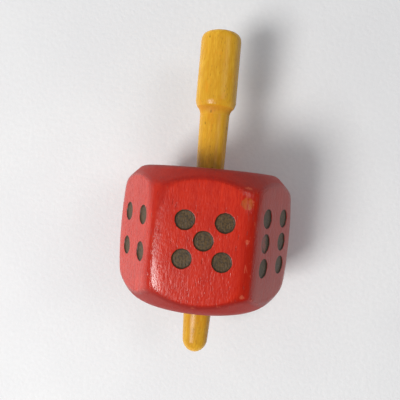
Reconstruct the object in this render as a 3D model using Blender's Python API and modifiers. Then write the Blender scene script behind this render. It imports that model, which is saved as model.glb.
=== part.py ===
"""A hexagonal dice top: a turned wooden spindle pressed through a hexagonal block of wood.

The top is modelled upright, with its spin axis on local Z and the grip at the top. An empty then
lays it down on one of the block's six flats, so the world origin is the middle of the flat that
it rests on, +Z is up, and the grip points along +Y.
"""

import math

import bmesh
import bpy
from mathutils import Matrix, Vector

MM = 0.001

# Driving dimensions, in metres.
ACROSS_FLATS = 35.0 * MM
BLOCK_LENGTH = 30.8 * MM
CORNER_RADIUS = 2.0 * MM
CORNER_SEGMENTS = 4

# Turning the block left a straight chamfer at the grip end, and a chamfer and a domed edge at
# the tip end. Depths are measured from the end face.
GRIP_FACE_RADIUS = 15.5 * MM
GRIP_CHAMFER_RADIUS = 19.3 * MM
GRIP_CHAMFER_DEPTH = 3.9 * MM
TIP_FACE_RADIUS = 11.6 * MM
TIP_DOME_RADIUS = 15.4 * MM
TIP_DOME_DEPTH = 1.25 * MM
TIP_CHAMFER_RADIUS = 19.3 * MM
TIP_CHAMFER_DEPTH = 5.3 * MM
BELLY_RADIUS = 20.6 * MM
BELLY_HEIGHT = 0.4 * MM
FACE_BEND = 0.5 * MM
CHAMFER_BEND = 1.3 * MM

SPINDLE_TOP = 47.4 * MM
SPINDLE_TIP = -27.4 * MM
GRIP_TOP_RADIUS = 4.65 * MM
GRIP_CROWN = 0.3 * MM
GRIP_EDGE_BEND = 1.8 * MM
GRIP_RADIUS = 4.72 * MM
GRIP_BOTTOM = 31.0 * MM
GRIP_BOTTOM_BEND = 0.9 * MM
SHOULDER_EDGE = 30.1 * MM
SHOULDER_EDGE_RADIUS = 4.2 * MM
NECK_TOP = 29.0 * MM
NECK_TOP_RADIUS = 3.45 * MM
NECK_BEND = 0.6 * MM
SHAFT_RADIUS = 3.25 * MM
TIP_TAPER_START = -19.0 * MM
TIP_TAPER_BEND = 3.0 * MM
TIP_RADIUS = 2.95 * MM
TIP_ROUND_START = -24.2 * MM
BORE_GAP = 0.3 * MM

PIP_RADIUS = 2.02 * MM
PIP_DEPTH = 0.25 * MM
PIP_CENTRE_HEIGHT = 0.95 * MM

TURNED_STEPS = 48
BEND_SEGMENTS = 4
TIP_SEGMENTS = 6
PIP_STEPS = 20
CUTTER_MARGIN = 2.0 * MM
SHARP_ANGLE = math.radians(35)

APOTHEM = ACROSS_FLATS / 2
FACE_COUNT = 6
FACE_ANGLE = math.tau / FACE_COUNT
CORNER_DISTANCE = APOTHEM / math.cos(FACE_ANGLE / 2)
BAR_LENGTH = BLOCK_LENGTH + 2 * CUTTER_MARGIN

# Each number's pips, as columns across the face and rows along the axis, in half pitches.
PIP_PATTERNS = {
    1: [(0, 0)],
    2: [(-1, 1), (1, -1)],
    3: [(-1, 1), (0, 0), (1, -1)],
    4: [(-1, 1), (1, 1), (-1, -1), (1, -1)],
    5: [(-1, 1), (1, 1), (0, 0), (-1, -1), (1, -1)],
    6: [(-1, 1), (1, 1), (-1, 0), (1, 0), (-1, -1), (1, -1)],
}
# The half pitches across and along, in metres. The pips were stamped by hand, so they differ.
PIP_HALF_PITCHES = {
    1: (0.0, 0.0),
    2: (4.1 * MM, 3.85 * MM),
    3: (4.1 * MM, 3.85 * MM),
    4: (4.3 * MM, 3.8 * MM),
    5: (3.95 * MM, 3.85 * MM),
    6: (4.2 * MM, 5.15 * MM),
}
# How far the middle of each stamped number sits off the middle of its flat, across it.
STAMP_OFFSETS = {1: -0.2 * MM, 2: 0.3 * MM, 3: -0.4 * MM, 4: 0.75 * MM, 5: 0.4 * MM, 6: 0.1 * MM}
# The numbers run round the block in order, starting from the flat that ends up on top.
NUMBERS_FROM_TOP_FLAT = [5, 6, 1, 2, 3, 4]


def clear_scene():
    for thing in list(bpy.data.objects):
        bpy.data.objects.remove(thing, do_unlink=True)


def new_collection(name):
    collection = bpy.data.collections.new(name)
    bpy.context.scene.collection.children.link(collection)
    return collection


def wood_material(name, colour, roughness):
    material = bpy.data.materials.new(name)
    material.use_nodes = True
    shader = material.node_tree.nodes["Principled BSDF"]
    shader.inputs["Base Color"].default_value = (*colour, 1.0)
    shader.inputs["Roughness"].default_value = roughness
    shader.inputs["Metallic"].default_value = 0.0
    material.diffuse_color = (*colour, 1.0)
    return material


def object_from_bmesh(name, shape, collection):
    mesh = bpy.data.meshes.new(name)
    shape.to_mesh(mesh)
    shape.free()
    mesh.shade_smooth()
    mesh.set_sharp_from_angle(angle=SHARP_ANGLE)
    thing = bpy.data.objects.new(name, mesh)
    collection.objects.link(thing)
    return thing


def add_cylinder(shape, radius, length, sides, pose):
    """Adds a closed cylinder or prism to a bmesh, with its axis on the pose's Z."""
    bmesh.ops.create_cone(
        shape,
        cap_ends=True,
        segments=sides,
        radius1=radius,
        radius2=radius,
        depth=length,
        matrix=pose,
    )


def turned_object(name, outline, collection):
    """Turns an outline of (radius, height) points, listed from the top down, about the Z axis."""
    shape = bmesh.new()
    points = [shape.verts.new((radius, 0.0, height)) for radius, height in outline]
    for upper, lower in zip(points, points[1:]):
        shape.edges.new((upper, lower))
    thing = object_from_bmesh(name, shape, collection)
    screw = thing.modifiers.new("Turning", "SCREW")
    screw.axis = "Z"
    screw.steps = TURNED_STEPS
    screw.render_steps = TURNED_STEPS
    screw.use_merge_vertices = True
    screw.merge_threshold = 0.00001
    return thing


def bend(before, corner, after, reach):
    """Points of a smooth bend that starts and ends at a distance of reach from a corner."""
    corner = Vector(corner)
    start = corner + (Vector(before) - corner).normalized() * reach
    end = corner + (Vector(after) - corner).normalized() * reach
    points = []
    for step in range(BEND_SEGMENTS + 1):
        share = step / BEND_SEGMENTS
        points.append(tuple(start.lerp(corner, share).lerp(corner.lerp(end, share), share)))
    return points


def bent_outline(corners):
    """An outline through corners given as (radius, height, reach of the bend there)."""
    outline = [corners[0][:2]]
    for before, corner, after in zip(corners, corners[1:], corners[2:]):
        if corner[2]:
            outline += bend(before[:2], corner[:2], after[:2], corner[2])
        else:
            outline.append(corner[:2])
    return outline + [corners[-1][:2]]


def block_outline():
    """The turned outline that shapes both ends of the block, from the grip end down."""
    grip_end = BLOCK_LENGTH / 2
    tip_end = -BLOCK_LENGTH / 2
    return bent_outline(
        [
            (0.0, grip_end, 0.0),
            (GRIP_FACE_RADIUS, grip_end, FACE_BEND),
            (GRIP_CHAMFER_RADIUS, grip_end - GRIP_CHAMFER_DEPTH, CHAMFER_BEND),
            (BELLY_RADIUS, BELLY_HEIGHT, 0.0),
            (TIP_CHAMFER_RADIUS, tip_end + TIP_CHAMFER_DEPTH, CHAMFER_BEND),
            (TIP_DOME_RADIUS, tip_end + TIP_DOME_DEPTH, CHAMFER_BEND),
            (TIP_FACE_RADIUS, tip_end, CHAMFER_BEND),
            (0.0, tip_end, 0.0),
        ]
    )


def spindle_outline():
    """The outline of grip, shoulder, neck, shaft and rounded tip, from the top down."""
    turned = bent_outline(
        [
            (0.0, SPINDLE_TOP, 0.0),
            (GRIP_TOP_RADIUS, SPINDLE_TOP - GRIP_CROWN, GRIP_EDGE_BEND),
            (GRIP_RADIUS, GRIP_BOTTOM, GRIP_BOTTOM_BEND),
            (SHOULDER_EDGE_RADIUS, SHOULDER_EDGE, 0.0),
            (NECK_TOP_RADIUS, NECK_TOP, NECK_BEND),
            (SHAFT_RADIUS, BLOCK_LENGTH / 2, 0.0),
            (SHAFT_RADIUS, TIP_TAPER_START, TIP_TAPER_BEND),
            (TIP_RADIUS, TIP_ROUND_START, 0.0),
        ]
    )
    tip_depth = TIP_ROUND_START - SPINDLE_TIP
    for step in range(1, TIP_SEGMENTS):
        angle = math.pi / 2 * step / TIP_SEGMENTS
        height = TIP_ROUND_START - tip_depth * math.sin(angle)
        turned.append((TIP_RADIUS * math.cos(angle), height))
    return turned + [(0.0, SPINDLE_TIP)]


def hexagonal_bar(collection):
    """A bar that is longer than the block, with a flat towards local -Y and rounded corners."""
    shape = bmesh.new()
    corner_to_flat = Matrix.Rotation(FACE_ANGLE / 2, 4, "Z")
    add_cylinder(shape, CORNER_DISTANCE, BAR_LENGTH, FACE_COUNT, corner_to_flat)
    weights = shape.edges.layers.float.new("bevel_weight_edge")
    for edge in shape.edges:
        runs_along_axis = edge.calc_length() > BLOCK_LENGTH
        edge[weights] = 1.0 if runs_along_axis else 0.0
    bar = object_from_bmesh("hex_block", shape, collection)
    bevel = bar.modifiers.new("Corners", "BEVEL")
    bevel.limit_method = "WEIGHT"
    bevel.offset_type = "OFFSET"
    bevel.width = CORNER_RADIUS * math.tan(FACE_ANGLE / 2)
    bevel.segments = CORNER_SEGMENTS
    return bar


def face_frame(index):
    """The frame of one flat: X across it, Y along the axis, Z out of the block."""
    angle = -math.pi / 2 + FACE_ANGLE * index
    outward = Vector((math.cos(angle), math.sin(angle), 0.0))
    along = Vector((0.0, 0.0, 1.0))
    across = along.cross(outward)
    frame = Matrix((across, along, outward)).transposed().to_4x4()
    frame.translation = outward * APOTHEM
    return frame


def pip_places(number):
    """The middles of a number's pips, in the frame of its flat."""
    middle = Vector((STAMP_OFFSETS[number], PIP_CENTRE_HEIGHT, 0.0))
    across, along = PIP_HALF_PITCHES[number]
    return [
        middle + Vector((column * across, row * along, 0.0))
        for column, row in PIP_PATTERNS[number]
    ]


def pip_punches(collection):
    """One cutter with a short cylinder for every pip on the six flats."""
    shape = bmesh.new()
    height = PIP_DEPTH + CUTTER_MARGIN
    sunk = Vector((0.0, 0.0, height / 2 - PIP_DEPTH))
    for index, number in enumerate(NUMBERS_FROM_TOP_FLAT):
        for place in pip_places(number):
            pose = face_frame(index) @ Matrix.Translation(place + sunk)
            add_cylinder(shape, PIP_RADIUS, height, PIP_STEPS, pose)
    return object_from_bmesh("pip_punches", shape, collection)


def bore_drill(collection):
    shape = bmesh.new()
    add_cylinder(shape, SHAFT_RADIUS + BORE_GAP, BAR_LENGTH, TURNED_STEPS, Matrix())
    return object_from_bmesh("bore_drill", shape, collection)


def hide_cutter(cutter):
    cutter.hide_render = True
    cutter.display_type = "WIRE"


def add_boolean(thing, name, operation, cutter):
    modifier = thing.modifiers.new(name, "BOOLEAN")
    modifier.operation = operation
    modifier.solver = "EXACT"
    modifier.object = cutter


def build_block(parts, cutters):
    """A hexagonal bar, turned at both ends, bored for the spindle and stamped with pips."""
    block = hexagonal_bar(parts)
    envelope = turned_object("turned_ends", block_outline(), cutters)
    drill = bore_drill(cutters)
    punches = pip_punches(cutters)
    add_boolean(block, "Turned ends", "INTERSECT", envelope)
    add_boolean(block, "Bore", "DIFFERENCE", drill)
    add_boolean(block, "Pips", "DIFFERENCE", punches)
    for cutter in (envelope, drill, punches):
        hide_cutter(cutter)
    block.data.materials.append(wood_material("red_lacquered_wood", (0.60, 0.03, 0.02), 0.35))
    return block, [envelope, drill, punches]


def build_spindle(parts):
    spindle = turned_object("spindle", spindle_outline(), parts)
    spindle.data.materials.append(wood_material("yellow_lacquered_wood", (0.72, 0.38, 0.05), 0.4))
    return spindle


def lay_down(things, collection):
    """Turns the upright top about X and lifts it, so that it lies on the flat opposite the 5."""
    axis = bpy.data.objects.new("spin_axis", None)
    collection.objects.link(axis)
    axis.rotation_euler = (-math.pi / 2, 0.0, 0.0)
    axis.location = (0.0, 0.0, APOTHEM)
    for thing in things:
        thing.parent = axis


def main():
    clear_scene()
    parts = new_collection("dice_top")
    cutters = new_collection("cutters")
    block, cutting_tools = build_block(parts, cutters)
    spindle = build_spindle(parts)
    lay_down([block, spindle] + cutting_tools, parts)
    bpy.context.view_layer.update()


main()
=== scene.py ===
"""The finished look of the hexagonal dice top, built round the CAD model.

Two pieces stand for the two CAD nodes: hex_block_wood, a finely meshed block with stamped and
painted pips, and spindle_wood, the turned stick. Both are a little uneven and worn, as a top that
has been played with is. Lengths are in metres, but the wear and the materials use millimetres.
"""

import math

import bmesh
import bpy
import numpy as np
from mathutils import Matrix, Vector, noise
from mathutils.geometry import delaunay_2d_cdt


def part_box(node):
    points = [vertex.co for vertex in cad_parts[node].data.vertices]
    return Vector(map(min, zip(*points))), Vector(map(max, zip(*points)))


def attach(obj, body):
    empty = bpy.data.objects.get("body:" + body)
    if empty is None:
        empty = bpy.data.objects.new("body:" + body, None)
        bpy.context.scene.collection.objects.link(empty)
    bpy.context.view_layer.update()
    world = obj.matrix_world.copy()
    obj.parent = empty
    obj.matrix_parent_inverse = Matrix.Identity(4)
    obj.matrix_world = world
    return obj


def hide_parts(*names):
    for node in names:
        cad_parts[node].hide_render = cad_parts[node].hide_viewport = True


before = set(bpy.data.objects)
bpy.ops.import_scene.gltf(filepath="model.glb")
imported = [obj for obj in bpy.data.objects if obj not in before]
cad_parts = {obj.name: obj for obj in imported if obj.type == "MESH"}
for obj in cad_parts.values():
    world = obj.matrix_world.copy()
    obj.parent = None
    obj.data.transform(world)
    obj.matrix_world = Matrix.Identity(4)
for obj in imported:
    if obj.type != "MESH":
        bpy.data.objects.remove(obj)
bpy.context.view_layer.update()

MM = 0.001

BLOCK_LOW, BLOCK_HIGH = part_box("hex_block")
SPINDLE_LOW, SPINDLE_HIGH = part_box("spindle")

# The block. Its outline is the CAD model's, with softer bends and with corners of its own.
APOTHEM = (BLOCK_HIGH.z - BLOCK_LOW.z) / 2
HALF_LENGTH = (BLOCK_HIGH.y - BLOCK_LOW.y) / 2
# The corners have worn unevenly. The first is between the top flat and the one towards +X.
CORNER_RADII = [2.8 * MM, 1.4 * MM, 1.5 * MM, 1.4 * MM, 1.3 * MM, 1.6 * MM]
GRIP_FACE_RADIUS = 15.5 * MM
GRIP_CHAMFER_RADIUS = 19.3 * MM
GRIP_CHAMFER_DEPTH = 3.9 * MM
TIP_FACE_RADIUS = 11.6 * MM
TIP_DOME_RADIUS = 15.4 * MM
TIP_DOME_DEPTH = 1.25 * MM
TIP_CHAMFER_RADIUS = 19.3 * MM
TIP_CHAMFER_DEPTH = 5.3 * MM
BELLY_RADIUS = 20.6 * MM
BELLY_HEIGHT = 0.4 * MM
FACE_BEND = 1.1 * MM
CHAMFER_BEND = 1.4 * MM
FACE_COUNT = 6
FACE_ANGLE = math.tau / FACE_COUNT
HALF_FACE_ANGLE = FACE_ANGLE / 2
EDGE_SOFTNESS = 0.8 * MM
# The flats are a little pillowed: they fall away towards their long edges and the tip end.
PILLOW_WIDTH = 3.0 * MM
PILLOW_TILT = 0.17
TIP_PILLOW_START = -3.5 * MM
TIP_PILLOW_LENGTH = 7.5 * MM
TIP_PILLOW_TILT = 0.10
BORE_SOFTNESS = 0.25 * MM
BORE_BEND = BORE_SOFTNESS * 0.9

# The spindle. Its outline is the CAD model's too, with a crisper bevel and shoulder under the grip.
GRIP_TOP_RADIUS = 4.65 * MM
GRIP_CROWN = 0.3 * MM
GRIP_EDGE_BEND = 1.8 * MM
GRIP_RADIUS = (SPINDLE_HIGH.x - SPINDLE_LOW.x) / 2
GRIP_BOTTOM = 31.2 * MM
GRIP_BOTTOM_BEND = 0.4 * MM
SHOULDER_EDGE = 30.1 * MM
SHOULDER_EDGE_RADIUS = 4.32 * MM
# A fine turned line runs round under the shoulder.
SHOULDER_LINE = 29.9 * MM
SHOULDER_LINE_RADIUS = 4.02 * MM
SHOULDER_LINE_END = 29.7 * MM
SHOULDER_LINE_END_RADIUS = 3.88 * MM
NECK_TOP = 29.0 * MM
NECK_TOP_RADIUS = 3.45 * MM
NECK_BEND = 0.6 * MM
SHAFT_RADIUS = 3.25 * MM
TIP_TAPER_START = -19.0 * MM
TIP_TAPER_BEND = 3.0 * MM
TIP_RADIUS = 2.95 * MM
TIP_ROUND_START = -24.2 * MM
TIP_ARC_POINTS = 20
# How much room the block's bore leaves round the spindle.
FIT_GAP = 0.03 * MM
BORE_RADIUS = SHAFT_RADIUS + FIT_GAP

# The pips.
PIP_RADIUS = 2.02 * MM
PIP_DEPTH = 0.25 * MM
PIP_RIM_RADIUS = PIP_RADIUS * 1.03
PIP_RIM_WIDTH = PIP_RADIUS * 0.14
PIP_CENTRE_HEIGHT = 0.95 * MM
PIP_PATTERNS = {
    1: [(0, 0)],
    2: [(-1, 1), (1, -1)],
    3: [(-1, 1), (0, 0), (1, -1)],
    4: [(-1, 1), (1, 1), (-1, -1), (1, -1)],
    5: [(-1, 1), (1, 1), (0, 0), (-1, -1), (1, -1)],
    6: [(-1, 1), (1, 1), (-1, 0), (1, 0), (-1, -1), (1, -1)],
}
PIP_HALF_PITCHES = {
    1: (0.0, 0.0),
    2: (4.1 * MM, 3.85 * MM),
    3: (4.1 * MM, 3.85 * MM),
    4: (4.3 * MM, 3.8 * MM),
    5: (3.95 * MM, 3.85 * MM),
    6: (4.2 * MM, 5.15 * MM),
}
STAMP_OFFSETS = {1: -0.2 * MM, 2: 0.3 * MM, 3: -0.4 * MM, 4: 0.75 * MM, 5: 0.4 * MM, 6: 0.1 * MM}
# The numbers run round the block in order, starting from the flat on top. The flank is the next flat.
NUMBERS_FROM_TOP_FLAT = [5, 6, 1, 2, 3, 4]
TOP_FLAT = 0
FLANK = 1

# How finely the block is meshed. Each flat has a patch that holds its pips.
BEND_SEGMENTS = 12
PATCH_COLUMNS = 44
PATCH_ROWS = 50
EDGE_COLUMNS = 5
CORNER_COLUMNS = 7
PATCH_HALF_WIDTH = 7.4 * MM
PATCH_LOW = -7.4 * MM
PATCH_HIGH = 8.6 * MM
RING_SPACING = 0.3 * MM
PIP_RING_SHARES = (0.2, 0.4, 0.6, 0.8, 0.88, 0.92, 0.96, 1.0, 1.03, 1.07, 1.12)
PIP_RING_POINTS = 56
FAR_FROM_PIPS = 10.0 * MM
# Points that are nearer than this count as one.
WELD_DISTANCE = 0.002 * MM
# The triangulation works in millimetres, and it keeps every triangle inside the convex hull.
TRIANGULATION_TOLERANCE = 1e-6
WHOLE_HULL = 0

# The spindle's mesh.
SPINDLE_SIDES = 112
SPINDLE_SPACING = 0.15 * MM


# ---------------------------------------------------------------- turned outlines


def bend(before, corner, after, reach):
    """Points of a smooth bend that starts and ends at a distance of reach from a corner."""
    corner = Vector(corner)
    start = corner + (Vector(before) - corner).normalized() * reach
    end = corner + (Vector(after) - corner).normalized() * reach
    points = []
    for share in np.linspace(0, 1, BEND_SEGMENTS + 1):
        points.append(tuple(start.lerp(corner, share).lerp(corner.lerp(end, share), share)))
    return points


def bent_outline(corners):
    """An outline through corners given as (radius, height, reach of the bend there)."""
    outline = [corners[0][:2]]
    for before, corner, after in zip(corners, corners[1:], corners[2:]):
        if corner[2]:
            outline += bend(before[:2], corner[:2], after[:2], corner[2])
        else:
            outline.append(corner[:2])
    return outline + [corners[-1][:2]]


def resampled(outline, spacing):
    """The same outline as (radius, height) points at an even spacing along it."""
    outline = np.array(outline)
    travelled = np.concatenate([[0.0], np.cumsum(np.hypot(*np.diff(outline, axis=0).T))])
    places = np.linspace(0, travelled[-1], int(travelled[-1] / spacing) + 2)
    return np.stack([np.interp(places, travelled, outline[:, axis]) for axis in (0, 1)], axis=1)


GRIP_END_OUTLINE = bent_outline(
    [
        (BORE_RADIUS, HALF_LENGTH - BORE_SOFTNESS, 0.0),
        (BORE_RADIUS, HALF_LENGTH, BORE_BEND),
        (GRIP_FACE_RADIUS, HALF_LENGTH, FACE_BEND),
        (GRIP_CHAMFER_RADIUS, HALF_LENGTH - GRIP_CHAMFER_DEPTH, CHAMFER_BEND),
        (BELLY_RADIUS, BELLY_HEIGHT, 0.0),
    ]
)
TIP_END_OUTLINE = bent_outline(
    [
        (BELLY_RADIUS, BELLY_HEIGHT, 0.0),
        (TIP_CHAMFER_RADIUS, TIP_CHAMFER_DEPTH - HALF_LENGTH, CHAMFER_BEND),
        (TIP_DOME_RADIUS, TIP_DOME_DEPTH - HALF_LENGTH, CHAMFER_BEND),
        (TIP_FACE_RADIUS, -HALF_LENGTH, CHAMFER_BEND),
        (BORE_RADIUS, -HALF_LENGTH, BORE_BEND),
        (BORE_RADIUS, BORE_SOFTNESS - HALF_LENGTH, 0.0),
    ]
)


# ---------------------------------------------------------------- shape of the block


def block_rings():
    """Rings of the block as (limiting radius, height), in three runs: grip end, flats, tip end."""
    grip_side = resampled(GRIP_END_OUTLINE, RING_SPACING)
    tip_side = resampled(TIP_END_OUTLINE, RING_SPACING)
    clear = RING_SPACING / 2
    grip_side = grip_side[grip_side[:, 1] > PATCH_HIGH + clear]
    tip_side = tip_side[tip_side[:, 1] < PATCH_LOW - clear]
    heights = np.linspace(PATCH_HIGH, PATCH_LOW, PATCH_ROWS + 1)
    flats = np.stack([turned_radius(heights), heights], axis=1)
    return grip_side, flats, tip_side


def turned_radius(heights):
    """The radius that turning leaves at heights between the two end faces."""
    sides = np.array(GRIP_END_OUTLINE[-BEND_SEGMENTS - 2 :] + TIP_END_OUTLINE[: BEND_SEGMENTS + 2])
    return np.interp(-np.asarray(heights), -sides[:, 1], sides[:, 0])


def column_places():
    """Columns across one face. Up to 1 either way is its patch, up to 2 the rest of its flat,
    and up to 3 its half of the corner."""
    patch = np.linspace(-PATCH_HALF_WIDTH, PATCH_HALF_WIDTH, PATCH_COLUMNS + 1)
    edge = 1 + np.arange(1, EDGE_COLUMNS + 1) / EDGE_COLUMNS
    corner = 2 + np.arange(1, CORNER_COLUMNS + 1) / CORNER_COLUMNS
    right = np.concatenate([edge, corner])
    return np.concatenate([-right[::-1], patch / PATCH_HALF_WIDTH, right])


def face_directions(face):
    """The directions across one face and out of it. The flank is the flat towards +X."""
    angle = FACE_ANGLE * face
    across = np.array([math.cos(angle), 0.0, -math.sin(angle)])
    outward = np.array([math.sin(angle), 0.0, math.cos(angle)])
    return across, outward


def on_face(face, across, along):
    """The point of a face at a place on it."""
    across_way, outward_way = face_directions(face)
    point = across_way * across + outward_way * APOTHEM
    return Vector((point[0], along, point[2] + APOTHEM))


def pillow_margin(flat_part, half_width):
    """0 on the middle of a flat, rising to 1 across the pillowed strip at its long edges."""
    return np.clip((flat_part - half_width) / PILLOW_WIDTH + 1, 0, 1)


def pillow_drop(flat_part, half_width, round_part, corner_radius, height):
    """How far the surface lies under the true hexagon, which handling has worn round."""
    margin = pillow_margin(flat_part, half_width)
    corner_length = corner_radius * HALF_FACE_ANGLE
    sides = PILLOW_WIDTH * margin**3 / 3 + corner_length * (round_part - round_part**2 / 2)
    down = np.clip((TIP_PILLOW_START - height) / TIP_PILLOW_LENGTH, 0, 1)
    return PILLOW_TILT * sides + TIP_PILLOW_TILT * TIP_PILLOW_LENGTH * down**2 / 2


def block_points(face, column, height, limit):
    """The block's surface, from columns across a face, heights and turned radii.

    Also gives how near each point is to a crease, from 0 to 1."""
    corner_radius = np.where(column > 0, CORNER_RADII[face], CORNER_RADII[face - 1])
    half_width = (APOTHEM - corner_radius) * math.tan(HALF_FACE_ANGLE)
    in_patch, edge_part, round_part = (np.clip(np.abs(column) - i, 0, 1) for i in range(3))
    flat_part = PATCH_HALF_WIDTH * in_patch + (half_width - PATCH_HALF_WIDTH) * edge_part
    turn = HALF_FACE_ANGLE * round_part
    drop = pillow_drop(flat_part, half_width, round_part, corner_radius, height)
    sideways = np.copysign(flat_part + (corner_radius - drop) * np.sin(turn), column)
    outward = APOTHEM - corner_radius + (corner_radius - drop) * np.cos(turn)
    radius = np.hypot(sideways, outward)
    overlap = np.maximum(EDGE_SOFTNESS - np.abs(radius - limit), 0.0)
    softened = np.minimum(radius, limit) - overlap * overlap / (4 * EDGE_SOFTNESS)
    scale = softened / radius
    across_way, outward_way = face_directions(face)
    points = np.outer(sideways * scale, across_way) + np.outer(outward * scale, outward_way)
    points[:, 1] = height
    points[:, 2] += APOTHEM
    crease = overlap / EDGE_SOFTNESS
    corner = (pillow_margin(flat_part, half_width) ** 2 + round_part) / 2
    corner = np.where(limit > radius, corner, 0.0)
    return points, np.maximum(crease, corner)


def pip_places(number):
    """The middles of a number's pips, in the plane of its flat."""
    middle = np.array([STAMP_OFFSETS[number], PIP_CENTRE_HEIGHT])
    return [middle + np.array(place) * PIP_HALF_PITCHES[number] for place in PIP_PATTERNS[number]]


def pip_rings(centre):
    """Rings of points round one pip, from near its middle out past its rim."""
    angles = np.arange(PIP_RING_POINTS) * math.tau / PIP_RING_POINTS
    circle = np.stack([np.cos(angles), np.sin(angles)], axis=1)
    return [centre + circle * PIP_RADIUS * share for share in PIP_RING_SHARES]


def patch_triangles(number):
    """The patch of one flat in its own plane: points and triangles, with rings round each pip."""
    columns = np.linspace(-PATCH_HALF_WIDTH, PATCH_HALF_WIDTH, PATCH_COLUMNS + 1)
    rows = np.linspace(PATCH_LOW, PATCH_HIGH, PATCH_ROWS + 1)
    grid = np.array([(x, y) for y in rows for x in columns])
    centres = pip_places(number)
    outer_ring = PIP_RADIUS * PIP_RING_SHARES[-1]
    clear = pip_distance(grid, centres) > outer_ring + RING_SPACING / 2
    points = [tuple(point / MM) for point in grid[clear]]
    edges = []
    for centre in centres:
        points.append(tuple(centre / MM))
        for ring in pip_rings(centre):
            start = len(points)
            points += [tuple(point / MM) for point in ring]
            for step in range(PIP_RING_POINTS):
                edges.append((start + step, start + (step + 1) % PIP_RING_POINTS))
    corners = [Vector(point) for point in points]
    made = delaunay_2d_cdt(corners, edges, [], WHOLE_HULL, TRIANGULATION_TOLERANCE)
    flat_points = np.array([tuple(point) for point in made[0]]) * MM
    return flat_points, [tuple(face) for face in made[2]]


def pip_distance(points, centres):
    """How far each point is from the middle of its nearest pip."""
    nearest = np.full(len(points), FAR_FROM_PIPS)
    for centre in centres:
        nearest = np.minimum(nearest, np.hypot(*(points - centre).T))
    return nearest


def pip_recess(distance):
    """How deep a pip is pressed in, with a rounded rim."""
    rim = np.clip((PIP_RIM_RADIUS - distance) / PIP_RIM_WIDTH, 0, 1)
    return PIP_DEPTH * rim * rim * (3 - 2 * rim)


def grid_faces(start, rows, columns, skipped):
    """Quads of a grid of points, without the cells for which skipped is true."""
    faces = []
    for row in range(rows - 1):
        for column in range(columns - 1):
            if not skipped(row, column):
                corner = start + row * columns + column
                faces.append((corner, corner + columns, corner + columns + 1, corner + 1))
    return faces


def build_block():
    """The block, face by face, each with a patch of finer triangles round its pips."""
    grip_side, flats, tip_side = block_rings()
    rings = np.concatenate([grip_side, flats, tip_side])
    columns = column_places()
    patch_rows = range(len(grip_side), len(grip_side) + PATCH_ROWS)
    first_column = EDGE_COLUMNS + CORNER_COLUMNS
    patch_columns = range(first_column, first_column + PATCH_COLUMNS)

    def in_patch(row, column):
        return row in patch_rows and column in patch_columns

    points, faces, distances, creases = [], [], [], []
    for face, number in enumerate(NUMBERS_FROM_TOP_FLAT):
        across = np.tile(columns, len(rings))
        limits, heights = np.repeat(rings, len(columns), axis=0).T
        faces += grid_faces(len(points), len(rings), len(columns), in_patch)
        placed, crease = block_points(face, across, heights, limits)
        points += list(placed)
        creases += list(crease)
        distances += [FAR_FROM_PIPS] * len(placed)
        flat_points, triangles = patch_triangles(number)
        start = len(points)
        faces += [tuple(start + i for i in triangle) for triangle in triangles]
        across, heights = flat_points.T
        placed, crease = block_points(
            face, across / PATCH_HALF_WIDTH, heights, turned_radius(heights)
        )
        distance = pip_distance(flat_points, pip_places(number))
        placed -= np.outer(pip_recess(distance), face_directions(face)[1])
        points += list(placed)
        creases += list(crease)
        distances += list(distance)
    attributes = {"pip_distance": np.array(distances) / MM, "crease": creases}
    block = new_piece("hex_block_wood", points, faces, attributes)
    close_bore(block.data)
    return block


def new_piece(name, points, faces, attributes):
    """An object with per-point attributes, whose points are welded where they meet."""
    mesh = bpy.data.meshes.new(name)
    mesh.from_pydata([tuple(point) for point in points], [], faces)
    for key, values in attributes.items():
        mesh.attributes.new(key, "FLOAT", "POINT").data.foreach_set("value", values)
    shape = bmesh.new()
    shape.from_mesh(mesh)
    bmesh.ops.remove_doubles(shape, verts=shape.verts, dist=WELD_DISTANCE)
    bmesh.ops.recalc_face_normals(shape, faces=shape.faces)
    shape.to_mesh(mesh)
    shape.free()
    mesh.shade_smooth()
    piece = bpy.data.objects.new(name, mesh)
    bpy.context.scene.collection.objects.link(piece)
    return piece


def close_bore(mesh):
    """Joins the two open ends of the bore with a wall, so that the block is one closed body."""
    shape = bmesh.new()
    shape.from_mesh(mesh)
    rims = [edge for edge in shape.edges if edge.is_boundary]
    bmesh.ops.bridge_loops(shape, edges=rims)
    bmesh.ops.recalc_face_normals(shape, faces=shape.faces)
    shape.to_mesh(mesh)
    shape.free()
    mesh.shade_smooth()


# ---------------------------------------------------------------- shape of the spindle


SPINDLE_OUTLINE = bent_outline(
    [
        (0.0, SPINDLE_HIGH.y, 0.0),
        (GRIP_TOP_RADIUS, SPINDLE_HIGH.y - GRIP_CROWN, GRIP_EDGE_BEND),
        (GRIP_RADIUS, GRIP_BOTTOM, GRIP_BOTTOM_BEND),
        (SHOULDER_EDGE_RADIUS, SHOULDER_EDGE, 0.0),
        (SHOULDER_LINE_RADIUS, SHOULDER_LINE, 0.0),
        (SHOULDER_LINE_END_RADIUS, SHOULDER_LINE_END, 0.0),
        (NECK_TOP_RADIUS, NECK_TOP, NECK_BEND),
        (SHAFT_RADIUS, HALF_LENGTH, 0.0),
        (SHAFT_RADIUS, TIP_TAPER_START, TIP_TAPER_BEND),
        (TIP_RADIUS, TIP_ROUND_START, 0.0),
    ]
)


def tip_arc():
    """The rounded tip, from where it starts down to the middle of the tip."""
    angles = np.linspace(0, math.pi / 2, TIP_ARC_POINTS)[1:]
    heights = TIP_ROUND_START + (SPINDLE_LOW.y - TIP_ROUND_START) * np.sin(angles)
    return list(zip(TIP_RADIUS * np.cos(angles), heights))


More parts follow.
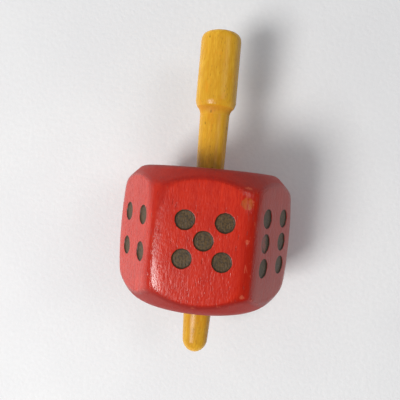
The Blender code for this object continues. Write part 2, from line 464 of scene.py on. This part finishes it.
def build_spindle():
    """The turned stick, as rings of points from the grip's top down to the tip."""
    outline = resampled(SPINDLE_OUTLINE + tip_arc(), SPINDLE_SPACING)
    angles = np.arange(SPINDLE_SIDES) * math.tau / SPINDLE_SIDES
    points = [(0.0, outline[0][1], APOTHEM)]
    for radius, height in outline[1:-1]:
        for angle in angles:
            points.append((radius * math.sin(angle), height, APOTHEM + radius * math.cos(angle)))
    points.append((0.0, outline[-1][1], APOTHEM))
    last = len(points) - 1
    faces = []
    for side in range(SPINDLE_SIDES):
        beside = (side + 1) % SPINDLE_SIDES
        faces.append((0, 1 + beside, 1 + side))
        for ring in range(len(outline) - 3):
            above = 1 + ring * SPINDLE_SIDES
            below = above + SPINDLE_SIDES
            faces.append((above + side, above + beside, below + beside, below + side))
        bottom = last - SPINDLE_SIDES
        faces.append((bottom + side, bottom + beside, last))
    return new_piece("spindle_wood", points, faces, {})


# ---------------------------------------------------------------- dents and unevenness


# Wear on the top flat, beside its corner towards +X, as ((across, along), (radius across, radius
# along), dent depth) in millimetres. The finer wear follows the creases by itself.
BARE_PATCH = ((8.5, 9.0), (1.4, 1.2), 0.10)
CHIPS = [
    ((8.5, 12.0), (0.8, 0.3), 0.10),
    ((9.0, 1.5), (0.5, 0.5), 0.10),
    ((9.0, -9.5), (0.6, 0.5), 0.15),
]
# How far the marks reach above and below the flat, in millimetres.
MARK_REACH = 1.5
# A short forked scratch on the same flat, and the half width of its lines.
SCRATCH_START = (9.0, -3.0)
SCRATCH_ENDS = [(9.0, -4.5), (9.5, -4.5)]
SCRATCH_HALF_WIDTH = 0.16
# The surface falls away beside a scratch's straight line, so height counts for less.
SCRATCH_HEIGHT_SHARE = 0.2

# Unevenness as (height of the swells, their size, height of the ripples, their size).
BLOCK_UNEVENNESS = (0.05 * MM, 9.0 * MM, 0.012 * MM, 1.2 * MM)
SPINDLE_UNEVENNESS = (0.04 * MM, 7.0 * MM, 0.01 * MM, 1.0 * MM)
# Ripples are drawn out along the grain.
RIPPLE_STRETCH = (1.0, 0.25, 1.0)


def block_dents():
    """A dent under each wear mark, as (middle, radii across X, Y and Z, depth) in metres."""
    dents = []
    for (across, along), (wide, long), depth in [BARE_PATCH] + CHIPS:
        radii = (wide * MM, long * MM, MARK_REACH * MM)
        dents.append((on_face(TOP_FLAT, across * MM, along * MM), radii, depth * MM))
    return dents


def roughen(piece, swell, swell_size, ripple, ripple_size, dents):
    """Moves points along their normals: slow swells, fine ripples along the grain, and dents."""
    mesh = piece.data
    count = len(mesh.vertices)
    places, normals = np.empty(count * 3), np.empty(count * 3)
    mesh.vertices.foreach_get("co", places)
    mesh.vertices.foreach_get("normal", normals)
    places = places.reshape(-1, 3)
    normals = normals.reshape(-1, 3)
    moves = np.empty(count)
    for index, place in enumerate(places):
        slow = noise.noise(Vector(place / swell_size))
        fine = noise.noise(Vector(place * RIPPLE_STRETCH / ripple_size))
        moves[index] = swell * slow + ripple * fine
    for middle, radii, depth in dents:
        away = (((places - np.array(middle)) / np.array(radii)) ** 2).sum(axis=1)
        moves -= depth * np.exp(-away)
    moved = places + normals * moves[:, None]
    moved[:, 2] = np.maximum(moved[:, 2], 0.0)
    mesh.vertices.foreach_set("co", moved.ravel())
    mesh.update()


# ---------------------------------------------------------------- materials


# A ring wave of scale 1 repeats at this distance.
RING_WAVE = math.tau / 20
# How far the wear that thickens the chips reaches round the bare patch, in millimetres.
WORN_REACH = (5.0, 4.0, 3.0)
TO_TIP = (0.0, -1.0, 0.0)
TO_GRIP = (0.0, 1.0, 0.0)
# The block was cut beside the heart of the tree, so its growth rings are off centre.
PITH = (7.0, 0.0, 6.0)
GROWTH_SPACING = 2.4
TURNING_MIDDLE = (0.0, 0.0, APOTHEM / MM)
TURNING_SPACING = 0.6
# The flank's middle pip in the row nearer the top flat, by its place in the pattern of the 6.
RUBBED_PIP = 2
# The darker band under the shoulder, the dull lacquer in its corner and the painted shade at the root
# by the block, as places along the axis in millimetres.
STAIN_BAND = (28.4, 29.4, 29.95, 30.15)
DULL_CORNER = (28.1, 28.5, 29.9, 30.1)
ROOT_SHADE_SPAN = (15.2, 18.5)
# The tip is scuffed from this place on, where it spins on the table.
SCUFFED_FROM = (-19.0, -23.0)

# The block's colours, in linear red, green, blue and alpha.
DEEP_RED = (0.50, 0.0105, 0.0006, 1)
BRIGHT_RED = (0.62, 0.019, 0.0010, 1)
STREAK_RED = (0.71, 0.036, 0.003, 1)
MOTTLED_RED = (0.48, 0.011, 0.002, 1)
PORE_RED = (0.22, 0.006, 0.003, 1)
# Painted shade for the flank towards +X, which faces away from the window.
FLANK_SHADE_RED = (0.27, 0.012, 0.004, 1)
# Painted shade: a darker band along the creases.
CREASE_SHADE_RED = (0.34, 0.006, 0.002, 1)
# The turned ends: partly end grain that takes up more stain, partly painted shade.
END_GRAIN_AND_SHADE_RED = (0.20, 0.006, 0.004, 1)
GROWTH_RING_RED = (0.10, 0.003, 0.002, 1)
OPEN_PORE_RED = (0.07, 0.002, 0.001, 1)
BARE_WOOD = (0.49, 0.085, 0.010, 1)
BARE_STREAK = (0.45, 0.040, 0.004, 1)
CHIPPED_WOOD = (0.72, 0.10, 0.05, 1)
CHIPPED_STREAK = (0.74, 0.22, 0.11, 1)
DARK_PAINT = (0.037, 0.020, 0.005, 1)
PAINT_FLECK = (0.110, 0.060, 0.014, 1)
# A darker ring at the edge of the pips' paint: partly the paint's own edge, partly painted shade of
# the recess wall.
PAINT_RIM_AND_SHADE = (0.028, 0.014, 0.005, 1)

# The spindle's colours.
YELLOW = (0.70, 0.40, 0.027, 1)
STREAK_YELLOW = (0.79, 0.475, 0.038, 1)
FIBRE_AMBER = (0.63, 0.30, 0.010, 1)
CLOUD_ORANGE = (0.77, 0.32, 0.011, 1)
PORE_BROWN = (0.34, 0.14, 0.010, 1)
BAND_AMBER = (0.58, 0.20, 0.008, 1)
# Painted shade at the root, where the spindle enters the block.
ROOT_SHADE_BROWN = (0.30, 0.13, 0.012, 1)
PIT_BROWN = (0.20, 0.08, 0.004, 1)

# The paper's colours.
PAPER_SHADE = (0.80, 0.80, 0.81, 1)
PAPER_WHITE = (0.84, 0.84, 0.845, 1)
PAPER_WEAVE = (0.76, 0.76, 0.77, 1)


class Look:
    """One material under construction, with short calls for the nodes that it is made of."""

    def __init__(self, name):
        self.material = bpy.data.materials.new(name)
        self.material.use_nodes = True
        self.tree = self.material.node_tree
        self.shader = self.tree.nodes["Principled BSDF"]

    def node(self, kind, inputs, **settings):
        node = self.tree.nodes.new("ShaderNode" + kind)
        for key, value in settings.items():
            setattr(node, key, value)
        for key, value in inputs.items():
            self.feed(node.inputs[key], value)
        return node

    def feed(self, socket, value):
        """Links a socket to another one, or sets it to a constant."""
        if isinstance(value, bpy.types.NodeSocket):
            self.tree.links.new(value, socket)
        else:
            socket.default_value = value

    def vector(self, operation, first, second):
        return self.node("VectorMath", {0: first, 1: second}, operation=operation)

    def maths(self, operation, first, second):
        return self.node("Math", {0: first, 1: second}, operation=operation).outputs[0]

    def plus(self, first, second):
        return self.maths("ADD", first, second)

    def minus(self, first, second):
        return self.maths("SUBTRACT", first, second)

    def times(self, first, second):
        return self.maths("MULTIPLY", first, second)

    def larger(self, first, second):
        return self.maths("MAXIMUM", first, second)

    def ease(self, value, start, end, low=0.0, high=1.0):
        """Maps start..end smoothly onto low..high, and holds the ends."""
        inputs = {"Value": value, 1: start, 2: end, 3: low, 4: high}
        return self.node("MapRange", inputs, interpolation_type="SMOOTHSTEP").outputs[0]

    def mix(self, share, first, second):
        """The first colour where share is 0, and the second where it is 1."""
        return self.node("Mix", {0: share, 6: first, 7: second}, data_type="RGBA").outputs[2]

    def place(self):
        """Where a point is on the object, in millimetres."""
        source = self.node("TexCoord", {}).outputs["Object"]
        inputs = {0: source, "Scale": 1 / MM}
        return self.node("VectorMath", inputs, operation="SCALE").outputs[0]

    def attribute(self, name):
        return self.node("Attribute", {}, attribute_name=name).outputs["Fac"]

    def facing(self, direction, start, end):
        """How much the surface is turned in a direction, from 0 to 1."""
        normal = self.node("NewGeometry", {}).outputs["Normal"]
        turned = self.vector("DOT_PRODUCT", normal, direction).outputs["Value"]
        return self.ease(turned, start, end)

    def scaled(self, place, factors):
        return self.vector("MULTIPLY", place, factors).outputs[0]

    def along_grain(self, place, factor):
        """A place for a pattern that is drawn out along the grain: the lower the factor, the more."""
        return self.scaled(place, (1.0, factor, 1.0))

    def noise(self, place, scale, detail=2.0, rough=0.5):
        inputs = {"Vector": place, "Scale": scale, "Detail": detail, "Roughness": rough}
        return self.node("TexNoise", inputs).outputs[0]

    def cells(self, place, scale):
        """The distance to the nearest of many scattered points."""
        return self.node("TexVoronoi", {"Vector": place, "Scale": scale}).outputs["Distance"]

    def rings(self, place, middle, spacing, distortion):
        """Rings round an axis along Y, from 0 to 1, at a spacing in millimetres."""
        offset = self.vector("SUBTRACT", place, middle).outputs[0]
        inputs = {"Vector": offset, "Scale": RING_WAVE / spacing, "Distortion": distortion}
        settings = {"wave_type": "RINGS", "rings_direction": "Y"}
        return self.node("TexWave", inputs, **settings).outputs["Fac"]

    def spot(self, place, middle, radii, edge):
        """1 inside an ellipsoid, falling to 0 at its uneven edge. Sizes are in millimetres."""
        offset = self.vector("SUBTRACT", place, middle).outputs[0]
        offset = self.scaled(offset, tuple(1 / radius for radius in radii))
        away = self.node("VectorMath", {0: offset}, operation="LENGTH").outputs["Value"]
        return self.ease(self.plus(away, edge), 1.1, 0.9)

    def scratch(self, place, start, end, half_width):
        """1 along a thin straight scratch on the top flat, falling to 0 at its sides."""
        run = Vector(end) - Vector(start)
        offset = self.vector("SUBTRACT", place, start).outputs[0]
        offset = self.scaled(offset, (1.0, 1.0, SCRATCH_HEIGHT_SHARE))
        share = self.vector("DOT_PRODUCT", offset, tuple(run / run.length_squared))
        share = self.node("Clamp", {"Value": share.outputs["Value"]}).outputs[0]
        foot = self.node("VectorMath", {0: tuple(run), "Scale": share}, operation="SCALE").outputs[0]
        away = self.vector("DISTANCE", offset, foot).outputs["Value"]
        return self.ease(away, half_width, half_width * 0.4)

    def finish(self, colour, roughness, height, bump_depth, specular, diffuse_roughness=0.0):
        """Feeds the shader. A bump_depth in metres is how deep a height of 1 looks."""
        bump = self.node("Bump", {"Height": height, "Distance": bump_depth, "Strength": 1.0})
        self.feed(self.shader.inputs["Base Color"], colour)
        self.feed(self.shader.inputs["Roughness"], roughness)
        self.feed(self.shader.inputs["Normal"], bump.outputs[0])
        self.shader.inputs["Specular IOR Level"].default_value = specular
        self.shader.inputs["Diffuse Roughness"].default_value = diffuse_roughness
        return self.material


def top_flat_place(across, along):
    """A place on the top flat, in millimetres, for a material."""
    return tuple(on_face(TOP_FLAT, across * MM, along * MM) / MM)


def broad_streaks(look, place):
    """Slow streaks along the grain, from 0 to 1."""
    return look.ease(look.noise(look.along_grain(place, 0.05), 0.9, 3.0, 0.6), 0.32, 0.68)


def pore_dashes(look, place, factor, scale, core):
    """Short dark dashes along the grain: 1 in the core of a pore, and 0 away from it."""
    return look.ease(look.cells(look.along_grain(place, factor), scale), core, 0.2, 1.0, 0.0)


def red_stain_and_shade(look, place, fine, pores, mottle, flank, crease):
    """The red stain along the grain, darker in its pores, with painted shade on one flank and along
    the creases.
    """
    colour = look.mix(broad_streaks(look, place), DEEP_RED, BRIGHT_RED)
    colour = look.mix(look.ease(fine, 0.35, 0.7, 0.0, 0.55), colour, STREAK_RED)
    colour = look.mix(look.ease(mottle, 0.35, 0.65, 0.0, 0.35), colour, MOTTLED_RED)
    colour = look.mix(look.times(pores, 0.4), colour, PORE_RED)
    # Painted shade on the flank that faces away from the window.
    colour = look.mix(look.times(flank, 0.45), colour, FLANK_SHADE_RED)
    # Painted shade along the creases.
    return look.mix(look.times(crease, 0.4), colour, CREASE_SHADE_RED)


def end_grain_and_shade(look, place, colour):
    """The turned ends, darker partly from end grain and partly as painted shade, with growth rings
    and open pores on their faces.

    Also gives where the two ends and the two end faces are."""
    to_tip = look.facing(TO_TIP, 0.1, 0.55)
    to_grip = look.facing(TO_GRIP, 0.1, 0.55)
    # Darker at the tip end than at the grip end: partly end grain, partly painted shade.
    darker = look.larger(look.times(to_tip, 0.7), look.times(to_grip, 0.4))
    colour = look.mix(darker, colour, END_GRAIN_AND_SHADE_RED)
    end_face = look.larger(look.facing(TO_TIP, 0.75, 0.95), look.facing(TO_GRIP, 0.75, 0.95))
    growth = look.ease(look.rings(place, PITH, GROWTH_SPACING, 6.0), 0.35, 0.95)
    clear = look.ease(look.noise(place, 0.2, 3.0, 0.6), 0.35, 0.65, 0.05, 0.3)
    growth = look.times(look.times(growth, clear), end_face)
    colour = look.mix(growth, colour, GROWTH_RING_RED)
    open_pores = look.times(look.ease(look.cells(place, 1.6), 0.10, 0.24, 0.5, 0.0), end_face)
    colour = look.mix(open_pores, colour, OPEN_PORE_RED)
    return colour, look.larger(to_tip, to_grip), end_face


def edge_chips(look, place, worn_place):
    """Chips scattered where the surface is near a crease, and thicker near a worn place."""
    worn = look.spot(place, worn_place, WORN_REACH, look.noise(place, 0.4))
    level = look.plus(look.noise(place, 0.9, 4.0, 0.75), look.times(worn, 0.07))
    near_crease = look.ease(look.attribute("crease"), 0.3, 0.8)
    return look.times(look.ease(level, 0.58, 0.70), near_crease)


def bare_patch(look, place, colour, wobble):
    """The patch on the top flat where the stain is worn off down to streaky wood."""
    middle, radii, _ = BARE_PATCH
    patch = look.spot(
        place, top_flat_place(*middle), (*radii, MARK_REACH), look.times(wobble, 0.4)
    )
    stripes = look.ease(look.noise(look.along_grain(place, 0.05), 2.2, 1.0, 0.4), 0.42, 0.58)
    return look.mix(look.times(patch, 0.9), colour, look.mix(stripes, BARE_WOOD, BARE_STREAK))


def worn_red(look, place, colour, fine):
    """The red stain with its bare patch, chips and scratches."""
    wobble = look.ease(look.noise(place, 2.0, 4.0, 0.75), 0.2, 0.8, -0.6, 0.6)
    colour = bare_patch(look, place, colour, wobble)
    chips = look.times(edge_chips(look, place, top_flat_place(*BARE_PATCH[0])), 0.4)
    for middle, radii, _ in CHIPS:
        spot = look.spot(place, top_flat_place(*middle), (*radii, MARK_REACH), wobble)
        chips = look.larger(chips, look.times(spot, 0.45))
    for end in SCRATCH_ENDS:
        ends = [top_flat_place(*SCRATCH_START), top_flat_place(*end)]
        line = look.scratch(place, *ends, SCRATCH_HALF_WIDTH)
        chips = look.larger(chips, look.times(line, 0.5))
    pale = look.mix(look.ease(fine, 0.4, 0.6), CHIPPED_WOOD, CHIPPED_STREAK)
    return look.mix(chips, colour, pale)


def rubbed_pip(look, place, edge):
    """Where one of the flank's pips has lost paint, on its side towards the top flat."""
    across, along = pip_places(NUMBERS_FROM_TOP_FLAT[FLANK])[RUBBED_PIP]
    middle = on_face(FLANK, across - PIP_RADIUS / 4, along) / MM
    rubbed = look.spot(place, tuple(middle), (1.2, 1.8, 1.2), edge)
    patchy = look.ease(look.noise(place, 2.2, 4.0, 0.8), 0.42, 0.58, 0.25, 0.7)
    return look.times(rubbed, patchy)


def pip_paint_and_shade(look, place, speck):
    """How much of a pip's paint covers a point, and the paint's colour, darker at its edge partly as
    painted shade of the recess.
    """
    radius = PIP_RADIUS / MM
    from_middle = look.attribute("pip_distance")
    from_middle = look.plus(from_middle, look.ease(speck, 0, 1, -0.12, 0.12))
    paint = look.ease(from_middle, radius - 0.05, radius + 0.07, 1.0, 0.0)
    rubbed = rubbed_pip(look, place, look.ease(speck, 0.2, 0.8, -0.6, 0.6))
    paint = look.times(paint, look.minus(1.0, rubbed))
    # Darker near the paint's edge: partly the paint itself, partly painted shade of the recess wall.
    rim = look.ease(from_middle, radius - 0.5, radius - 0.12)
    flecks = look.ease(look.noise(place, 2.6, 3.0, 0.7), 0.38, 0.62)
    colour = look.mix(flecks, DARK_PAINT, PAINT_FLECK)
    return paint, look.mix(look.times(rim, 0.65), colour, PAINT_RIM_AND_SHADE)


def red_wood():
    look = Look("red_lacquered_wood")
    place = look.place()
    fine = look.noise(look.along_grain(place, 0.14), 3.6, 3.0, 0.65)
    speck = look.noise(look.along_grain(place, 0.4), 2.4, 2.0, 0.6)
    pores = pore_dashes(look, place, 0.16, 1.7, 0.07)
    mottle = look.noise(place, 0.16)
    # The flank towards +X, which gets painted shade in its colour and slightly raised roughness.
    flank = look.facing(tuple(face_directions(FLANK)[1]), 0.90, 0.98)
    crease = look.ease(look.attribute("crease"), 0.2, 0.7)
    colour = red_stain_and_shade(look, place, fine, pores, mottle, flank, crease)
    colour, ends, end_face = end_grain_and_shade(look, place, colour)
    colour = worn_red(look, place, colour, fine)
    paint, pip_colour = pip_paint_and_shade(look, place, speck)
    colour = look.mix(paint, colour, pip_colour)
    roughness = look.ease(fine, 0.3, 0.7, 0.25, 0.33)
    roughness = look.plus(roughness, look.times(ends, 0.25))
    roughness = look.plus(roughness, look.times(flank, 0.04))
    roughness = look.minus(roughness, look.times(crease, 0.12))
    roughness = look.larger(roughness, look.times(paint, 0.45))
    height = look.plus(look.times(fine, 0.6), look.times(speck, 1.1))
    height = look.minus(height, look.times(pores, 0.8))
    turning = look.rings(place, TURNING_MIDDLE, TURNING_SPACING, 1.0)
    cut = look.times(end_face, look.ease(mottle, 0.35, 0.65, 0.05, 0.45))
    height = look.plus(height, look.times(turning, cut))
    return look.finish(
        colour, roughness, height, bump_depth=0.06 * MM, specular=0.38, diffuse_roughness=0.5
    )


def spindle_pits(look, place, along):
    """Small dark pits: thinly scattered, longer along the grain, and closer at the scuffed tip."""
    scattered = look.cells(look.along_grain(place, 0.6), 0.42)
    ragged = look.ease(look.noise(place, 2.4, 3.0, 0.7), 0.2, 0.8, -0.03, 0.03)
    pits = look.ease(look.plus(scattered, ragged), 0.12, 0.06)
    scuffs = look.noise(look.along_grain(place, 0.5), 1.1, 3.0, 0.7)
    scuffs = look.ease(scuffs, 0.56, 0.68, 0.0, 0.7)
    return look.larger(pits, look.times(scuffs, look.ease(along, *SCUFFED_FROM)))


def band_along(look, along, places):
    """1 between the middle two places along the axis, falling to 0 at the outer two."""
    low, full, still_full, high = places
    return look.times(look.ease(along, low, full), look.ease(along, high, still_full))


def spindle_stain_and_root_shade(look, colour, along, uneven):
    """The stain band under the shoulder, and the painted shade at the root where the spindle enters
    the block.
    """
    band = band_along(look, along, STAIN_BAND)
    colour = look.mix(look.times(band, 0.45), colour, BAND_AMBER)
    # Painted shade: darker towards where the spindle enters the block.
    root = look.plus(along, look.ease(uneven, 0.2, 0.8, -1.5, 1.5))
    root = look.ease(root, *ROOT_SHADE_SPAN, 0.45, 0.0)
    root = look.times(look.ease(along, 0.0, 0.1), root)
    return look.mix(root, colour, ROOT_SHADE_BROWN)


def yellow_wood():
    look = Look("yellow_lacquered_wood")
    place = look.place()
    along = look.node("SeparateXYZ", {0: place}).outputs["Y"]
    fibres = look.noise(look.along_grain(place, 0.10), 4.2, 4.0, 0.7)
    pores = pore_dashes(look, place, 0.25, 1.9, 0.06)
    orange = look.noise(look.along_grain(place, 0.35), 0.8, 2.0, 0.6)
    colour = look.mix(broad_streaks(look, place), YELLOW, STREAK_YELLOW)
    colour = look.mix(look.ease(fibres, 0.38, 0.62, 0.0, 0.7), colour, FIBRE_AMBER)
    colour = look.mix(look.ease(orange, 0.5, 0.75, 0.0, 0.4), colour, CLOUD_ORANGE)
    colour = look.mix(look.times(pores, 0.5), colour, PORE_BROWN)
    colour = spindle_stain_and_root_shade(look, colour, along, orange)
    pits = spindle_pits(look, place, along)
    colour = look.mix(look.times(pits, 0.5), colour, PIT_BROWN)
    dull = look.times(band_along(look, along, DULL_CORNER), 0.35)
    roughness = look.plus(look.ease(fibres, 0.3, 0.7, 0.21, 0.28), dull)
    height = look.minus(fibres, look.times(pores, 0.6))
    height = look.minus(height, look.times(pits, 0.4))
    return look.finish(
        colour, roughness, height, bump_depth=0.03 * MM, specular=0.24, diffuse_roughness=1.0
    )


def floor_paper():
    look = Look("pale_floor")
    place = look.place()
    weave = look.noise(place, 0.9, 3.0, 0.6)
    cloud = look.noise(place, 0.03)
    colour = look.mix(look.ease(cloud, 0.3, 0.7), PAPER_SHADE, PAPER_WHITE)
    colour = look.mix(look.ease(weave, 0.3, 0.7, 0.0, 0.3), colour, PAPER_WEAVE)
    return look.finish(colour, 0.8, weave, bump_depth=0.12 * MM, specular=0.2)


# ---------------------------------------------------------------- camera, light and floor


CAMERA_PLACE = (2.65 * MM, 11.46 * MM, APOTHEM + 102.1 * MM)
CAMERA_BACK = (0.0424, 0.0300, 0.9986)
CAMERA_UP = (-0.0897, 0.9956, -0.0261)
FIELD_OF_VIEW = math.radians(49.4)

# How bright the room is on either side, and how much brighter it is straight above.
ROOM_LEFT = 0.49
ROOM_RIGHT = 0.17
ROOM_OVERHEAD = 1.3
# Where the room changes from left to right, along X, and from the sides to overhead, along Z.
ROOM_LEFT_TO_RIGHT = (-0.8, 0.8)
ROOM_UPWARDS = (0.75, 0.97)
ROOM_COLOUR = (0.95, 0.97, 1.0, 1.0)

# Each panel's direction from the block, its distance, size, power and colour.
WINDOW = ((-0.50, -0.345, 0.797), 0.52, (0.182, 0.182), 2.18, (1.0, 0.99, 0.97))
LAMP_BEHIND = ((0.62, 0.25, 0.74), 0.7, (0.24, 0.24), 0.5, (1.0, 1.0, 1.0))
FLOOR_HALF_SIZE = 0.6


def add_camera():
    """A camera close above the top, looking down at it."""
    data = bpy.data.cameras.new("camera")
    data.lens_unit = "FOV"
    data.angle = FIELD_OF_VIEW
    data.clip_start = 5 * MM
    camera = bpy.data.objects.new("camera", data)
    bpy.context.scene.collection.objects.link(camera)
    back = Vector(CAMERA_BACK).normalized()
    right = Vector(CAMERA_UP).cross(back).normalized()
    turn = Matrix((right, back.cross(right), back)).transposed()
    camera.rotation_mode = "QUATERNION"
    camera.rotation_quaternion = turn.to_quaternion()
    camera.location = CAMERA_PLACE
    bpy.context.scene.camera = camera


def add_panel(name, direction, distance, size, power, colour):
    """A soft rectangular light that shines at the middle of the block."""
    data = bpy.data.lights.new(name, "AREA")
    data.shape = "RECTANGLE"
    data.size, data.size_y = size
    data.energy = power
    data.color = colour
    light = bpy.data.objects.new(name, data)
    bpy.context.scene.collection.objects.link(light)
    aim = Vector(direction).normalized()
    light.location = Vector((0.0, 0.0, APOTHEM)) + aim * distance
    light.rotation_euler = aim.to_track_quat("Z", "Y").to_euler()


def add_world():
    """A soft room, brightest on the window's side and straight above."""
    world = bpy.data.worlds.new("world")
    world.use_nodes = True
    tree = world.node_tree
    direction = tree.nodes.new("ShaderNodeTexCoord")
    axes = tree.nodes.new("ShaderNodeSeparateXYZ")
    tree.links.new(direction.outputs["Generated"], axes.inputs[0])
    strength = tree.nodes.new("ShaderNodeMath")
    strength.operation = "MULTIPLY"
    ranges = [
        ("X", (*ROOM_LEFT_TO_RIGHT, ROOM_LEFT, ROOM_RIGHT)),
        ("Z", (*ROOM_UPWARDS, 1.0, ROOM_OVERHEAD)),
    ]
    for index, (axis, limits) in enumerate(ranges):
        mapped = tree.nodes.new("ShaderNodeMapRange")
        tree.links.new(axes.outputs[axis], mapped.inputs["Value"])
        for socket, value in zip(mapped.inputs[1:5], limits):
            socket.default_value = value
        tree.links.new(mapped.outputs[0], strength.inputs[index])
    background = tree.nodes["Background"]
    background.inputs["Color"].default_value = ROOM_COLOUR
    tree.links.new(strength.outputs[0], background.inputs["Strength"])
    bpy.context.scene.world = world


def add_floor():
    """A sheet of pale paper under the top, which isn't part of the object."""
    half = FLOOR_HALF_SIZE
    corners = [(-half, -half, 0.0), (half, -half, 0.0), (half, half, 0.0), (-half, half, 0.0)]
    mesh = bpy.data.meshes.new("floor")
    mesh.from_pydata(corners, [], [(0, 1, 2, 3)])
    floor = bpy.data.objects.new("floor", mesh)
    bpy.context.scene.collection.objects.link(floor)
    mesh.materials.append(floor_paper())


def main():
    bpy.context.scene.view_settings.view_transform = "Standard"
    add_camera()
    block = build_block()
    roughen(block, *BLOCK_UNEVENNESS, block_dents())
    block.data.materials.append(red_wood())
    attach(block, "root")
    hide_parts("hex_block")
    spindle = build_spindle()
    roughen(spindle, *SPINDLE_UNEVENNESS, [])
    spindle.data.materials.append(yellow_wood())
    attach(spindle, "root")
    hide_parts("spindle")
    add_floor()
    add_world()
    add_panel("window", *WINDOW)
    add_panel("lamp_behind", *LAMP_BEHIND)


main()
